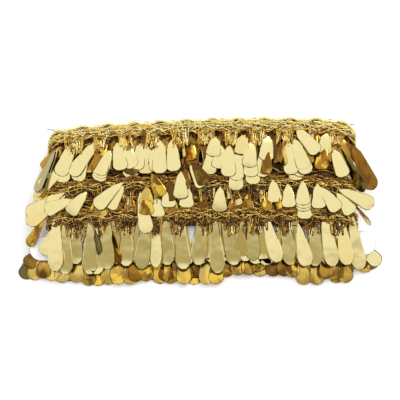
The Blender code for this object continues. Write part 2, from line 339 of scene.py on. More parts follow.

# Spangles that lie on top, each from where it leaves the braid to its round end. Lift counts layers
# outwards, turn is in degrees about the spangle's length, the painted light tone goes from -1, olive painted
# shade, through 0, pale gold, to 1, brown painted reflection, and rise raises the round end
SHOWN_FRONT_1 = hangings(
    (-42.6, 28.1, -42.6, 11, -1), (-42, 28.1, -42, 12.8, 0, 0, 1), (-33.6, 26.8, -33.6, 13.4, 0, 0, 0.1),
    (-33.6, 32.2, -36.6, 18.4, 2), (-43.2, 33, -44.1, 16, 1), (-29.4, 30.5, -26.4, 14.6, 2),
    (-76.8, 31.7, -84.9, 12, 3), (-63.6, 32, -78, 12.2, 2), (-57, 31.7, -69.6, 14.6, 1, 30, 0.68),
    (-55.2, 27.4, -61.8, 12.4, 4), (-55.2, 26.8, -61.8, 10.6, 3), (-55.2, 26.2, -62.1, 8.8, 2),
    (-80.4, 28, -83.4, 7.9, 1), (-69.6, 28, -74.4, 8.8, 1), (-50.7, 32.3, -48, 15.2, 2),
    (-48.6, 34.1, -40.8, 16.7, 3), (-35.7, 32.3, -39.6, 15.8, 2), (-25.2, 33.5, -25.2, 13.3, 3),
    (-18, 34.1, -16.8, 14.6, 2), (-12.3, 32.3, -12, 22.5, 2, 58), (-7.2, 32.3, -7.2, 21.3, 1, 25, 0.6),
    (-1.5, 28.6, -1.5, 17.6, 1, 58), (8.2, 35.3, 6.3, 23.4, 6), (7.2, 31.1, 3.6, 13, 3),
    (11.4, 30.4, 9.6, 16.1, 4), (16.2, 30.4, 15.5, 11.2, 5), (24.5, 36.5, 23.4, 24.6, 7, 0, 0.1),
    (22.8, 29.2, 21.6, 14.9, 3), (29.1, 32.3, 28, 16.7, 6), (29.4, 28, 28.8, 11.2, 4),
    (30, 25, 30.3, 6.9, 1), (21, 28, 20.4, 9.1, 2), (20.4, 21.9, 20.1, 3.3, 0), (39, 34.7, 35.1, 11.2, 4),
    (39.6, 35.9, 37.8, 21, 5), (38.4, 27.4, 37.2, 12.7, 6, 25, 0.6), (47.4, 32.9, 47.4, 17.6, 1, 40, 0.3),
    (51.6, 32.9, 53.2, 12.7, 3), (55.2, 34.1, 61.2, 15.8, 5), (56.4, 32.3, 62.4, 13, 3),
    (57, 39.6, 69, 25.5, 6), (74.4, 37.8, 72.6, 25.5, 4), (72, 30.4, 70.8, 15.8, 2, 20, 0.69),
    (78.9, 28, 84.4, 11.2, 3), (82.8, 28.6, 96, 2.4, 2, 52, -0.7), (90, 30.4, 101.6, 3.6, 3, 8, 0.82),
    (-86.4, 28.6, -97.2, -0.7, 3, 52, -0.55), (-88.2, 27.4, -98.4, 2.4, 2, 45, -0.75),
    (-90, 14.6, -97.2, -3.7, 0, 15, 0.2), (-84, 15.2, -96, 4.8, 1), (55.8, 26.8, 56.1, 9.4, 0),
)
SHOWN_FRONT_2 = hangings(
    (-5.6, 19.6, 2.6, 7, 6, 10, 0.97), (-19.4, 10, -19.2, -3.6, 4, 10, 0.97),
    (-81.6, 1.9, -103.8, -11.5, 3), (-81, 0.1, -103.2, -17, 1, 0, 0.1), (-76.2, -2.4, -93, -9.1, 4),
    (-68.4, 2.5, -78.6, -10.9, 3), (-47.4, 8, -63, -7.2, 4), (-46.8, 6.2, -55.4, -7.6, 2),
    (-61.2, -2.4, -60, -12.7, 0, 0, 0.4), (-30, 13.5, -24, -0.5, 4, 15, 0.6),
    (-12.6, 14.7, -12.6, -2.1, 5), (-10.2, 16.5, -10.2, 5.6, 6, 30, 0.9), (-19.8, 7.4, -19.8, -7.2, 2),
    (-9, 7.4, -9.3, -7.2, 1), (-7.2, 18.4, 1.2, 5.6, 4), (10.8, 5.6, 10.2, -9.7, 4),
    (-33, 5, -32.7, -6, 7, 0, 0.3), (-33, 1.4, -32.6, -11.9, 6, 0, 0.62), (-36.6, 1.9, -32.4, -22.5, 5),
    (-26.4, 0.1, -26.4, -12.7, 1), (14.4, 7.4, 15, -2.4, 2, 48), (19.8, 3.7, 20.7, -6, 1, 42, 0.1),
    (42, 9.8, 43.2, -4.2, 4, 5), (38.4, 2.5, 37.8, -9.1, 1, 35, 0.65),
    (43.8, 1.9, 43.8, -8.4, 2, 35, 0.7), (51, 7.4, 51.3, -7.2, 3), (59.4, 8.6, 59.7, -6, 6),
    (59.7, 7.4, 60, -7.8, 5), (60, 6.2, 60, -9.4, 4), (60.6, 1.3, 60.6, -13.9, 1),
    (68.4, 7.4, 69, -7.8, 3), (69.6, 5.6, 80.4, -9.1, 4), (79.8, 1.9, 88.8, -10.6, 2),
    (81, 3.7, 101.4, -6, 5), (90, -4.8, 99.6, -17.6, 1, 82),
)
SHOWN_FRONT_3 = hangings(
    (-84.6, -15.6, -93.6, -34.8, 4, 0, 0, 4.9), (-92, -9.7, -103.2, -29, 3, 40, 0.77),
    (-86.4, -9.6, -86.4, -44.6, 5, 0, 0, 4.9), (-81, -10.8, -81, -45.8, 3),
    (-75, -4.7, -75, -39.7, 4, 0, -0.12), (-65.9, -10.8, -66.6, -45.8, 2, 0, -0.05),
    (-62.4, -10.8, -62.4, -45.8, 1), (-62.4, -21.2, -62.4, -34.8, 8, 45, -1),
    (-56.1, -7.8, -56.1, -42.8, 4), (-52.8, -21.5, -50.1, -39.7, 6, 58, 0.66),
    (-45.3, -10.9, -45.3, -29.4, 6), (-45, -5.9, -45, -40.9, 3), (-33, -7.9, -36, -42.8, 3, 0, -0.15),
    (-27.3, -7.1, -27.3, -42.1, 3, 35, 0, 3.3), (-22, -5.3, -20.4, -40.3, 4, 0, -0.1),
    (-13.7, -7.9, -10.8, -42.8, 3), (-0.1, -5.4, -2.4, -40.3, 3, 0, -0.06),
    (3.6, -14.5, 3.6, -27.5, 4, 10, 0.5), (7, -10.3, 9.6, -45.2, 5),
    (11.3, -6.3, 19.8, -40.3, 3, 0, -0.06), (22.8, -19.4, 23.1, -35.1, 5, 0, 0.15),
    (29.8, -2.9, 30.3, -37.9, 4, 0, -0.1), (35.4, -5.5, 45, -39.1, 3, 0, 0, 4.9),
    (48, -5.6, 52.8, -40.3, 5), (56.9, -16.2, 61.8, -41.5, 3, 0, 0, 4.9), (67.2, -5.9, 67.2, -40.9, 4),
    (71.5, -7, 77.4, -41.5, 5, 0, 0, 3.9), (81.6, -9.4, 85.8, -40.9, 4, 0, 0.08, 4.9),
    (88, -8.9, 93.6, -43.4, 3, 0, 0, 2.2),
)
SHOWN_BACK_3 = hangings(
    (-98.4, -27.8, -107.4, -47.4, 3, 0, -1), (-94.8, -27.8, -102, -48, 2, 0, 0.3),
    (-91.2, -27.8, -96, -47.4, 1, 0, 0.5), (-87.6, -27.8, -90.6, -48.7, 2, 0, 0.3),
    (-82.8, -27.8, -84, -49.9, 1, 0, 0.22), (-78.6, -27.8, -79.8, -48.9, 0, 0, 0.3),
    (-75, -27.8, -75, -49.9, 1, 0, 0.24), (-67.8, -27.8, -67.8, -51.7, 1, 0, 0.4),
    (-62.4, -27.8, -62.1, -51.7, 2, 0, 0.6), (-56.4, -27.8, -56.1, -51.1, 1, 0, 0.3),
    (-50.4, -27.8, -50.1, -51.1, 2, 0, 0.5), (-43.2, -27.8, -42.9, -51.1, 1, 0, 0.4),
    (-33.6, -27.8, -33.6, -48.7, 2, 0, 0.6), (-25.2, -27.8, -25.2, -50.5, 1, 0, 0.4),
    (-19.2, -27.8, -18.9, -50.5, 2, 0, 0.5), (-10.8, -27.8, -10.8, -51.1, 1, 0, 0.4),
    (-4.8, -27.8, -4.8, -51.1, 2, 0, 0.5), (2.4, -27.8, 2.4, -51.1, 1, 0, 0.3),
    (8.4, -27.8, 8.4, -51.1, 2, 0, 0.5), (21.6, -24.1, 21.3, -45.6, 1, 0, 0.4),
    (27.6, -24.1, 27.9, -45.6, 2, 0, 0.6), (34.8, -24.1, 34.8, -46.2, 1, 0, 0.3),
    (42.6, -24.1, 42.6, -46.2, 2, 0, 0.9), (49.2, -24.1, 49.2, -46.2, 1, 0, 0.8),
    (54, -24.1, 54.3, -46.8, 2, 0, 0.5), (60.6, -27.8, 60.9, -51.1, 1, 0, 0.3),
    (68.4, -27.8, 68.7, -51.1, 2, 0, 0.4), (73.8, -27.8, 74.4, -47.4, 1, 0, 0.6),
    (79.8, -27.8, 80.7, -49.9, 2, 0, 0.4), (84, -27.8, 86.4, -49.9, 1, 0, 0.5),
    (87.6, -24.1, 93, -41.3, 2, 0, 0.4), (91.2, -24.1, 100, -43.3, 4, 0, 0.3),
    (89.8, -21.9, 106.8, -38.9, 0),
)

# Studio lights. One that isn't mirrored lights matt surfaces and doesn't show in the film
LIGHTS = (
    Light("key_light", (0.8, 1.1, 1.0), 1.2, 30, True),
    Light("fill_light", (0.0, 0.1, 1.0), 1.5, 70, False),
)

# Starts and ends of the places along a stretch where no covered spangle hides the card
BARE = {"front_3": ((-12.5, -1.2), (41.5, 49.0), (57.0, 63.5))}

# How each row of spangles falls. Root level and level are above the card's middle, step is between layers,
# rise is the most that a spangle climbs from its root, slope is its drop to the tip, waver is the spread of
# that, the painted shadow line on the rim starts from the rim shadow start, bulge scales its bow, and top is
# its width at the root as a share
FALLS = {
    "front_1": Fall(7.3, 8.7, 0.42, 0.8, 0.0, 0.3, 0.45, 1, 0.52),
    "front_2": Fall(7.3, 8.5, 0.42, 0.8, 0.0, 0.35, 0.45, 1, 0.3),
    "front_3": Fall(6.6, 6.6, 0.22, 0.0, 6.6, 0.2, 0.72, 1, 0.34),
    "back_1": Fall(-6.4, -6.4, 0.42, 1.0, 0.0, 0.1, 0.2, 1, 0.3),
    "back_2": Fall(-6.4, -6.4, 0.42, 1.0, 0.0, 0.1, 0.2, 1, 0.3),
    "back_3": Fall(-6.2, -6.0, 0.42, 1.0, 0.0, 1.1, 0.2, -1.3, 0.3),
}
SHOWN = {
    "front_1": SHOWN_FRONT_1,
    "front_2": SHOWN_FRONT_2,
    "front_3": SHOWN_FRONT_3,
    "back_3": SHOWN_BACK_3,
}

# The covered spangles of each row. Lean is in degrees at each end of the row, and lifts and painted light
# tones are ranges. The tones give the covered spangles painted shade and painted reflections
FILLERS = {
    "front_1": Filler(-84, 86, 6.4, 10, 18, 32, 30, (-3.5, -1.0), (0.5, 0.95)),
    "front_2": Filler(-80, 84, 9, 11, 12, 50, 45, (-3.0, -1.0), (0.55, 1.0)),
    "front_3": Filler(-80, 84, 2.9, 3, 29, 22, 12, (-3.0, 0.5), (-0.1, 0.14)),
    "back_1": Filler(-80, 80, 4.6, 14, 21, 4, 4, (0.0, 1.0), (0.0, 0.3)),
    "back_2": Filler(-80, 80, 4.6, 14, 21, 4, 4, (0.0, 1.0), (0.0, 0.3)),
    "back_3": Filler(-92, 90, 5.2, 14, 20, 45, 45, (1.5, 3.5), (0.4, 0.9)),
}


def length_setting(name, description, default):
    return FloatProperty(name=name, description=description, default=default, unit="LENGTH")


def color_setting(name, description, default):
    return FloatVectorProperty(name=name, description=description, default=default, subtype="COLOR")


class TRIM_PG_film(bpy.types.PropertyGroup):
    """Sizes and colours of the film spangles."""

    width: length_setting("Spangle width", "Width of a spangle across its round end", 9.4 * MM)
    thickness: length_setting("Film thickness", "Thickness of the metallised film", 0.12 * MM)
    color: color_setting(
        "Film colour", "Colour of the gold film where it mirrors white", SLOT_COLORS["film_gold"]
    )
    # Painted reflection of the other spangles in the film
    amber: color_setting(
        "Amber colour", "Colour of the film where it mirrors other spangles", (0.42, 0.20, 0.025)
    )
    seed: IntProperty(name="Seed", description="Start of the spangles' random order", default=7)


class TRIM_PG_thread(bpy.types.PropertyGroup):
    """Sizes and colours of the metallic thread."""

    cord_radius: length_setting("Cord radius", "Radius of one strand of the twisted upper cord", 0.5 * MM)
    loop_radius: length_setting("Loop radius", "Radius of the fine threads that fill the teeth", 0.27 * MM)
    # Bright thread is painted light, and amber and shaded thread are painted shade, on the gold thread
    bright: color_setting("Bright thread", "Colour of the upper cord", (1.0, 0.84, 0.40))
    middle: color_setting("Gold thread", "Colour of most of the braid's thread", (1.0, 0.60, 0.12))
    deep: color_setting(
        "Amber thread", "Colour of the threads that lie deeper in the braid", (0.34, 0.155, 0.024)
    )
    dark_shade: color_setting(
        "Shaded thread", "Colour of the braid's ground and of the hidden turns", (0.075, 0.032, 0.008)
    )


class TRIM_PG_stage(bpy.types.PropertyGroup):
    """Card colour, camera and light."""

    card_color: color_setting("Card colour", "Colour of the coated card", SLOT_COLORS["card_white"])
    elevation: FloatProperty(
        name="Camera elevation",
        description="Angle of the camera above the floor",
        default=math.radians(80),
        subtype="ANGLE",
    )
    distance: length_setting("Camera distance", "Distance from the camera to the bundle", 0.667)
    light: FloatProperty(name="Light", description="Strength of the studio lights", default=1.0)


class TRIM_PG_settings(bpy.types.PropertyGroup):
    """All settings of the trim."""

    film: PointerProperty(type=TRIM_PG_film)
    thread: PointerProperty(type=TRIM_PG_thread)
    stage: PointerProperty(type=TRIM_PG_stage)


def smooth_step(value):
    """Smooth rise from 0 to 1 between those values."""
    held = min(1.0, max(0.0, value))
    return held * held * (3 - 2 * held)


def mix(first, second, share):
    return first + (second - first) * share


def edge_height(edge, along):
    """Height of a smooth curve through the edge's points."""
    last = len(edge) - 1
    here = next((i for i in range(last) if along <= edge[i + 1].along), last - 1)
    start, end = edge[here], edge[here + 1]
    span = end.along - start.along

    def slope(i):
        before, after = edge[max(0, i - 1)], edge[min(last, i + 1)]
        return (after.height - before.height) / (after.along - before.along)

    t = (along - start.along) / span
    return (
        start.height * (1 + 2 * t) * (1 - t) ** 2
        + slope(here) * span * t * (1 - t) ** 2
        + end.height * t * t * (3 - 2 * t)
        + slope(here + 1) * span * t * t * (t - 1)
    )


def frame_shift():
    """Place of the card's middle in the frame, in millimetres, from the box of the hidden turns."""
    low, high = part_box("wound_core")
    core_top = max(edge_height(EDGE_FRONT_1, along) for along in STRAIGHT_PLACES) - CORE_BELOW_TOP_EDGE
    return Vector(((low.x + high.x) / 2 / MM, high.y / MM - core_top, (low.z + high.z) / 2 / MM))


def on_braid(side, along, height, radius):
    """Point at a place along a stretch of braid that goes on round both ends of the bundle."""
    over = abs(along) - TURN_HALF_LENGTH
    if over <= 0:
        return Vector((along, height, side * radius))
    angle = math.pi / 2 - over / BRAID_INNER
    end = math.copysign(TURN_HALF_LENGTH + radius * math.cos(angle), along)
    return Vector((end, height, side * radius * math.sin(angle)))


def tooth(along):
    """Share of a tooth's full depth: 0 at the top of an arch, and 1 at a tooth's tip."""
    turn = math.pi * (along - ARCH_PLACE) / TOOTH_PITCH
    fade = 1 - smooth_step((abs(along) - TOOTH_FADE_START) / TOOTH_FADE_LENGTH)
    return fade * (1 - abs(math.cos(turn)) ** TOOTH_ROUNDNESS)


def braid_top(edge, along):
    """Height of the scalloped upper edge."""
    lift = max(0.0, math.cos(2 * math.pi * (along - ARCH_PLACE + SCALLOP_LEAD) / TOOTH_PITCH))
    return edge_height(edge, along) + SCALLOP_HEIGHT * lift ** SCALLOP_ROUNDNESS


def braid_bottom(edge, along):
    """Height of the toothed lower edge."""
    return edge_height(edge, along) - BAND_WIDTH - TOOTH_DEPTH * tooth(along)


def depth_line(edge, share):
    """Line at a share of the braid's depth."""
    return lambda along: mix(edge_height(edge, along), braid_bottom(edge, along), share)


def new_material(name):
    made = bpy.data.materials.new(name)
    made.use_nodes = True
    return made, made.node_tree, made.node_tree.nodes["Principled BSDF"]


def fill_inputs(tree, node, inputs):
    """Links a node's inputs to sockets, or sets them to values."""
    for name, value in inputs.items():
        if isinstance(value, bpy.types.NodeSocket):
            tree.links.new(value, node.inputs[name])
        else:
            node.inputs[name].default_value = value


def new_node(tree, kind, inputs, **choices):
    made = tree.nodes.new("ShaderNode" + kind)
    for name, choice in choices.items():
        setattr(made, name, choice)
    fill_inputs(tree, made, inputs)
    return made


def blended(tree, share, first, second):
    """Colour between two colours or sockets."""
    return new_node(tree, "Mix", {0: share, 6: first, 7: second}, data_type="RGBA").outputs[2]


def spread(tree, value, low, high, to_low=0, to_high=1):
    """Value moved from one range to another."""
    limits = {"From Min": low, "From Max": high, "To Min": to_low, "To Max": to_high}
    return new_node(tree, "MapRange", {"Value": value, **limits}).outputs["Result"]


def object_noise(tree, scale, detail, stretch=(1, 1, 1)):
    """Noise on Object coordinates, stretched along the axes."""
    place = new_node(tree, "TexCoord", {}).outputs["Object"]
    moved = new_node(tree, "Mapping", {"Vector": place, "Scale": stretch}).outputs["Vector"]
    noise = new_node(tree, "TexNoise", {"Vector": moved, "Scale": scale, "Detail": detail})
    return noise.outputs["Fac"]


def attribute(tree, name):
    """Value of one of a mesh's own attributes."""
    return new_node(tree, "Attribute", {}, attribute_name=name).outputs["Fac"]


def product(tree, first, second):
    return new_node(tree, "Math", {0: first, 1: second}, operation="MULTIPLY").outputs[0]


def bump(tree, height, strength, distance):
    made = new_node(tree, "Bump", {"Height": height, "Strength": strength, "Distance": distance})
    return made.outputs["Normal"]


def film_material(film):
    """Gold mirror film: pale gold, with olive painted shade and yellow, amber and brown painted reflections
    set per spangle, painted shade and painted glints in patches, and a painted shadow line along its curled
    rim.
    """
    made, tree, shader = new_material("gold_film")
    tone = attribute(tree, "tone")
    rim = attribute(tree, "rim")
    mottle = object_noise(tree, 260, 3)
    glints = object_noise(tree, 170, 2, (1, 0.7, 1))
    shades = object_noise(tree, 130, 2, (1.3, 0.6, 1))
    color = blended(tree, spread(tree, mottle, 0.3, 0.7), (*film.color, 1), WARM_FILM)
    # Bands by the painted light tone: olive painted shade, and yellow, amber and brown painted reflections
    # of the spangles around
    for start, full, band in (
        (0.0, -1.0, OLIVE_SHADE_FILM),
        (0.0, 0.35, YELLOW_REFLECTION_FILM),
        (0.3, 0.7, (*film.amber, 1)),
        (0.7, 1.0, BROWN_REFLECTION_FILM),
    ):
        color = blended(tree, spread(tree, tone, start, full), color, band)
    painted_light_gate = spread(tree, tone, 0.2, 0.45)
    # Painted shade in patches on spangles toned past pale gold
    dark_shade = product(tree, painted_light_gate, spread(tree, shades, 0.46, 0.58, 0, 0.85))
    shaded = blended(tree, dark_shade, color, SHADED_FILM)
    # Painted glints in patches, fewer on the brown spangles
    glint_gate = product(tree, painted_light_gate, spread(tree, tone, 0.72, 0.8, 1, 0.15))
    light = product(tree, glint_gate, spread(tree, glints, 0.53, 0.6, 0, 0.9))
    lit = blended(tree, light, shaded, LIT_FILM)
    # Painted shadow line along the curled rim
    rim_shadowed = blended(tree, spread(tree, rim, 0.1, 0.6), lit, RIM_SHADOW_FILM)
    scratches = object_noise(tree, 1800, 2, (1, 0.2, 1))
    rough = spread(tree, scratches, 0.3, 0.7, 0.10, 0.22)
    wavy = bump(tree, object_noise(tree, 120, 1), 0.35, 0.0012)
    fill_inputs(tree, shader, {"Base Color": rim_shadowed, "Metallic": 1.0, "Roughness": rough, "Normal": wavy})
    return made


def thread_material(finish, color):
    """Metallic thread: fine turns of foil with painted shade in patches and painted glints, with a rough
    bump.
    """
    made, tree, shader = new_material(finish.name)
    foil = object_noise(tree, 800, 4, (1, 1.6, 1))
    # Clumps of painted shade, darker by the finish's shade share
    shade_clumps = object_noise(tree, 330, 2)
    dark_shade = tuple(channel * finish.shade for channel in color)
    # Colour of the painted glints on the foil
    lit = tuple(
        min(1.0, channel * LIT_SHARE + pale * PALE_SHARE) for channel, pale in zip(color, PALE_GLINT)
    )
    ground = blended(tree, spread(tree, shade_clumps, 0.35, 0.65), (*dark_shade, 1), (*color, 1))
    glinted = blended(tree, spread(tree, foil, 0.46, 0.6), ground, (*lit, 1))
    rough = spread(tree, foil, 0.3, 0.7, 0.45, 0.25)
    coarse = bump(tree, foil, 0.9, 0.0005)
    fill_inputs(tree, shader, {"Base Color": glinted, "Roughness": rough, "Normal": coarse})
    fill_inputs(tree, shader, {"Metallic": finish.metallic})
    return made


def card_material(name, color):
    """Smooth card with a faint fibre mottle."""
    made, tree, shader = new_material(name)
    mottle = object_noise(tree, 140, 5)
    warm = tuple(channel * share for channel, share in zip(color, CARD_WARMTH))
    paper = blended(tree, spread(tree, mottle, 0.3, 0.7), (*color, 1), (*warm, 1))
    rough = spread(tree, mottle, 0.3, 0.7, 0.38, 0.5)
    fibrous = bump(tree, object_noise(tree, 2200, 3), 0.15, 0.0001)
    fill_inputs(tree, shader, {"Base Color": paper, "Roughness": rough, "Normal": fibrous})
    return made


def floor_material():
    """Pale matt paper sweep."""
    made, tree, shader = new_material("pale_floor")
    mottle = object_noise(tree, 6, 3)
    color = blended(tree, spread(tree, mottle, 0.3, 0.7), *FLOOR_COLORS)
    fill_inputs(tree, shader, {"Base Color": color, "Roughness": 0.9, "Specular IOR Level": 0.1})
    return made


def linked_object(name, data):
    made = bpy.data.objects.new(name, data)
    bpy.context.scene.collection.objects.link(made)
    return made


def finished_piece(name, shape, materials, nodes=()):
    """Object made of a mesh that is already in the frame. It rides on the body and stands for its nodes."""
    data = bpy.data.meshes.new(name)
    shape.to_mesh(data)
    shape.free()
    for finish in materials:
        data.materials.append(finish)
    made = linked_object(name, data)
    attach(made, BODY)
    if nodes:
        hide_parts(*nodes)
    return made


def shape_to_frame(shape):
    """Turns the faces outwards and puts a shape that is in millimetres where the CAD is, in metres."""
    bmesh.ops.recalc_face_normals(shape, faces=shape.faces)
    bmesh.ops.translate(shape, vec=frame_shift(), verts=shape.verts)
    bmesh.ops.scale(shape, vec=(MM, MM, MM), verts=shape.verts)


def smoothed(piece, degrees):
    """Smooth faces with sharp edges where they meet at more than the angle."""
    piece.data.shade_smooth()
    piece.data.set_sharp_from_angle(angle=math.radians(degrees))
    return piece


def faces_at(vertices):
    """The faces at some vertices, each once and always in the same order."""
    return list(dict.fromkeys(face for vertex in vertices for face in vertex.link_faces))


def bevelled(shape, parts, offset, affect, segments):
    """Bevels vertices or edges, evenly and in the material of the faces beside them."""
    bmesh.ops.bevel(
        shape,
        geom=parts,
        offset=offset,
        affect=affect,
        segments=segments,
        profile=0.5,
        material=-1,
        clamp_overlap=True,
    )


def add_band(shape, columns, rows, thickness, place):
    """Adds a grid laid by place(across, up), both from -1 to 1, and gives it a thickness."""
    made = bmesh.ops.create_grid(shape, x_segments=columns, y_segments=rows, size=1)
    for vertex in made["verts"]:
        vertex.co = place(vertex.co.x, vertex.co.y)
    bmesh.ops.solidify(shape, geom=faces_at(made["verts"]), thickness=thickness)


def braid_shell(stretch):
    """Ground of one stretch of braid, with scallops above and teeth below."""
    shape = bmesh.new()

    def place(across, up):
        along = across * BRAID_HALF_LENGTH
        share = (up + 1) / 2
        height = mix(braid_bottom(stretch.edge, along), braid_top(stretch.edge, along), share)
        return on_braid(stretch.side, along, height, SHELL_LEVEL)

    add_band(shape, SHELL_COLUMNS, SHELL_ROWS, SHELL_THICKNESS, place)
    shape_to_frame(shape)
    return shape


def turn_length(turn):
    return 4 * TURN_HALF_LENGTH + 2 * math.pi * turn.radius


def on_hidden_turn(turn, across, up):
    """Point of a hidden turn of ribbed braid that closes round both ends of the card."""
    straight = 2 * TURN_HALF_LENGTH
    half_round = math.pi * turn.radius
    run = (across + 1) / 2 * turn_length(turn)
    rib = HIDDEN_RIB * math.sin(up * math.pi * HIDDEN_RIB_HALVES)
    ripple = HIDDEN_RIPPLE * math.sin(run * HIDDEN_RIPPLE_RATE + up * HIDDEN_RIPPLE_SLANT)
    radius = turn.radius + (rib + ripple)
    if run <= straight:
        along = run - TURN_HALF_LENGTH
        x, z = along, radius
    elif run <= straight + half_round:
        angle = (run - straight) / turn.radius
        along = TURN_HALF_LENGTH
        x, z = along + radius * math.sin(angle), radius * math.cos(angle)
    elif run <= 2 * straight + half_round:
        along = TURN_HALF_LENGTH - (run - straight - half_round)
        x, z = along, -radius
    else:
        angle = (run - 2 * straight - half_round) / turn.radius
        along = -TURN_HALF_LENGTH
        x, z = along - radius * math.sin(angle), -radius * math.cos(angle)
    upper = edge_height(turn.upper_edge, along) + turn.shift
    return Vector((x, upper - HIDDEN_WIDTH * (1 - up) / 2, z))


def braid_area():
    """Flat area of a stretch of braid, in square metres."""
    total = 0.0
    for i in range(AREA_STEPS):
        along = BRAID_HALF_LENGTH * (2 * (i + 0.5) / AREA_STEPS - 1)
        total += braid_top(EDGE_FRONT_1, along) - braid_bottom(EDGE_FRONT_1, along)
    return total * 2 * BRAID_HALF_LENGTH / AREA_STEPS * MM * MM


def strand(line, level, cord, phase):
    """Places of one strand of a cord that twists round a line: along, height and level."""
    count = int(2 * BRAID_HALF_LENGTH / cord.step)
    places = []
    for i in range(count + 1):
        along = BRAID_HALF_LENGTH * (2 * i / count - 1)
        turn = 2 * math.pi * (along / cord.pitch + phase)
        height = line(along) + cord.turn_radius * math.cos(turn)
        places.append((along, height, level + cord.turn_radius * math.sin(turn)))
    return places


def twisted_cord(line, level, cord):
    return [strand(line, level + cord.lift, cord, i / cord.strands) for i in range(cord.strands)]


def loop_fill(edge, loops, level, chance):
    """Thread in uneven loops between two shares of the braid's depth."""
    places = []
    level += loops.lift
    along = -BRAID_HALF_LENGTH
    while along < BRAID_HALF_LENGTH:
        advance = loops.pitch * chance.uniform(*LOOP_ADVANCE)
        high = loops.start + chance.uniform(*LOOP_TOP)
        low = loops.end + chance.uniform(*LOOP_BOTTOM)
        sway = loops.lead * chance.uniform(*LOOP_SWAY)
        rise = chance.uniform(*LOOP_RISE)
        for i in range(LOOP_STEPS):
            turn = 2 * math.pi * i / LOOP_STEPS
            here = along + advance * i / LOOP_STEPS
            top, bottom = edge_height(edge, here), braid_bottom(edge, here)
            share = mix(high, low, (1 - math.cos(turn)) / 2)
            place = min(BRAID_HALF_LENGTH, max(-BRAID_HALF_LENGTH, here + sway * math.sin(turn)))
            places.append((place, mix(top, bottom, share), level + rise * math.sin(turn * 0.5)))
        along += advance
    return places


def add_cords(shape, side, paths, radius, material_index, roundness=0):
    """Adds round cords along the paths of places on a stretch of braid."""
    curve = bpy.data.curves.new("cords", "CURVE")
    curve.dimensions = "3D"
    curve.bevel_depth = radius
    curve.bevel_resolution = roundness
    curve.use_fill_caps = True
    shift = frame_shift()
    for path in paths:
        spline = curve.splines.new("POLY")
        spline.points.add(len(path) - 1)
        for point, (along, height, level) in zip(spline.points, path):
            held = min(level, CORD_LIMITS[side])
            point.co = (*((on_braid(side, along, height, held) + shift) * MM), 1)
    holder = linked_object("cords", curve)
    graph = bpy.context.evaluated_depsgraph_get()
    laid = bpy.data.meshes.new_from_object(holder.evaluated_get(graph))
    first = len(shape.faces)
    shape.from_mesh(laid)
    shape.faces.ensure_lookup_table()
    for face in shape.faces[first:]:
        face.material_index = material_index
        face.smooth = True
    bpy.data.objects.remove(holder)
    bpy.data.curves.remove(curve)
    bpy.data.meshes.remove(laid)


def long_threads(edge, level, deepest, count, chance):
    """Threads that run nearly level along the braid, down to a depth, and wander up and down a little."""
    threads = []
    steps = int(2 * BRAID_HALF_LENGTH / RUN_STEP)
    for _ in range(count):
        depth = chance.uniform(RUN_SHALLOWEST, deepest)
        waves = [[chance.uniform(*limits) for limits in RUN_WAVE] for _ in range(RUN_WAVES)]
        path = []
        for i in range(steps + 1):
            along = BRAID_HALF_LENGTH * (2 * i / steps - 1)
            sway = sum(
                size * math.sin(2 * math.pi * along / length + start) for size, length, start in waves
            )
            rise = RUN_RISE * math.sin(along * RUN_RISE_RATE + waves[0][2])
            path.append((along, edge_height(edge, along) - depth + sway, level + rise))
        threads.append(path)
    return threads


def hanging_loops(edge, level, count, chance):
    """Loops of thread that hang from the teeth over the tops of the spangles."""
    loops = []
    first = math.ceil((-TOOTH_FADE_START - ARCH_PLACE) / TOOTH_PITCH - 0.5)
    last = math.floor((TOOTH_FADE_START - ARCH_PLACE) / TOOTH_PITCH - 0.5)
    for i in range(first, last + 1):
        middle = ARCH_PLACE + (i + 0.5) * TOOTH_PITCH
        for _ in range(count):
            along = middle + chance.gauss(0, HANGING_SPREAD)
            start = braid_bottom(edge, along) + chance.uniform(*HANGING_START)
            depth = start - braid_bottom(edge, middle) + chance.uniform(*HANGING_REACH)
            half = chance.uniform(*HANGING_HALF_WIDTH)
            slant = chance.gauss(0, HANGING_SLANT)
            lift = chance.uniform(*HANGING_LIFT)
            loop = []
            for step in range(HANGING_STEPS + 1):
                turn = math.pi * step / HANGING_STEPS
                fall = math.sin(turn)
                place = along + slant * fall - half * math.cos(turn)
                loop.append((place, start - max(1.0, depth) * fall, level + lift * fall))
            loops.append(loop)
    return loops


def braid_cords(stretch, thread):
    """The cords and loops of thread that lie on one stretch of braid."""
    chance = random.Random("cords " + stretch.name)
    edge, side, teeth = stretch.edge, stretch.side, stretch.teeth
    level = CORD_LEVELS[side]
    upper, main, inner = stretch.finishes
    light = BRIGHT_LIT if upper == BRIGHT_LIT else MIDDLE
    shape = bmesh.new()

    def top_line(along):
        return braid_top(edge, along) - TOP_CORD_DROP

    def second_line(along):
        return edge_height(edge, along) - SECOND_CORD_DROP

    def arch_line(along):
        uneven = sum(wave.size * math.sin(along * wave.rate + wave.start) for wave in ARCH_WAVES)
        return depth_line(edge, ARCH_DEPTH)(along) + uneven

    for line, cord, finish in (
        (top_line, TOP_CORD, upper),
        (second_line, SECOND_CORD, main),
        (arch_line, ARCH_CORD, AMBER_SHADE),
        (depth_line(edge, INNER_ARCH_DEPTH), INNER_ARCH_CORD, inner),
    ):
        paths = twisted_cord(line, level, cord)
        add_cords(shape, side, paths, thread.cord_radius * cord.thickness, finish, roundness=1)
    for loops, finish in zip(BRAID_LOOPS, (main, main, inner, light)):
        path = loop_fill(edge, loops, level, chance)
        add_cords(shape, side, [path], thread.loop_radius * loops.thickness, finish)
    for finish, count in ((main, 4), (light, 4), (AMBER_SHADE, 3)):
        runs = long_threads(edge, level + RUN_LIFT, BAND_WIDTH + RUN_BELOW_BAND, count, chance)
        add_cords(shape, side, runs, thread.loop_radius, finish)
    for finish, count in zip((main, AMBER_SHADE, light, BRIGHT_LIT), teeth.counts):
        hanging = hanging_loops(edge, level + teeth.lift, count, chance)
        add_cords(shape, side, hanging, thread.loop_radius * HANGING_THICKNESS, finish)
    return shape


